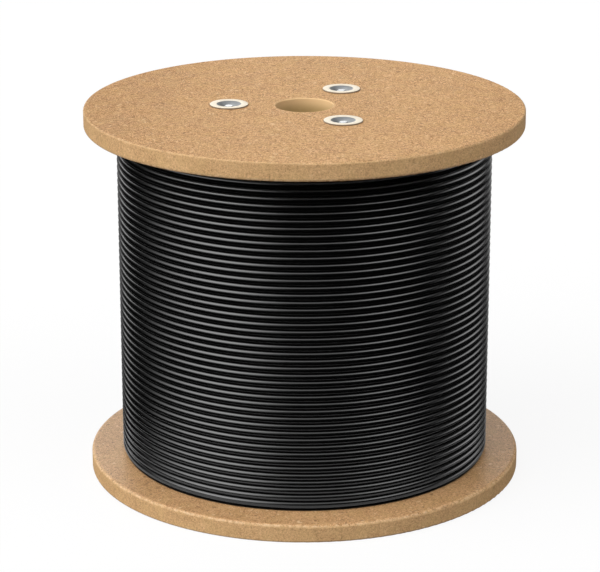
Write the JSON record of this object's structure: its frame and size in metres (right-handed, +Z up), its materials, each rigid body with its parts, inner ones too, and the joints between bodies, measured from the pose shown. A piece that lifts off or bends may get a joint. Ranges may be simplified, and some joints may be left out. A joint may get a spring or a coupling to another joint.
{
  "type": "wooden cable drum",
  "caption": "Round particleboard flanges clamped on a tube barrel by tie rods with dished nuts, wound full of black round cable, with a central spindle bore.",
  "frame": {"origin": "on the drum's axis, at the underside of the bottom flange", "axes": "+Z up along the drum's axis, +X to the right and +Y away from the viewer, one tie rod towards -X"},
  "size_m": [0.38, 0.38, 0.3272],
  "materials": {
    "particleboard": "raw sanded board",
    "paper_tube": "matt kraft",
    "cable_sheath": "semi-gloss black sheath",
    "zinc_steel": "bright zinc plate"
  },
  "bodies": {
    "root": {"top_flange": "particleboard", "bottom_flange": "particleboard", "barrel_tube": "paper_tube", "cable_winding": "cable_sheath", "tie_rod_1": "zinc_steel", "top_cup_nut_1": "zinc_steel", "bottom_cup_nut_1": "zinc_steel", "tie_rod_2": "zinc_steel", "top_cup_nut_2": "zinc_steel", "bottom_cup_nut_2": "zinc_steel", "tie_rod_3": "zinc_steel", "top_cup_nut_3": "zinc_steel", "bottom_cup_nut_3": "zinc_steel"}
  },
  "joints": []
}
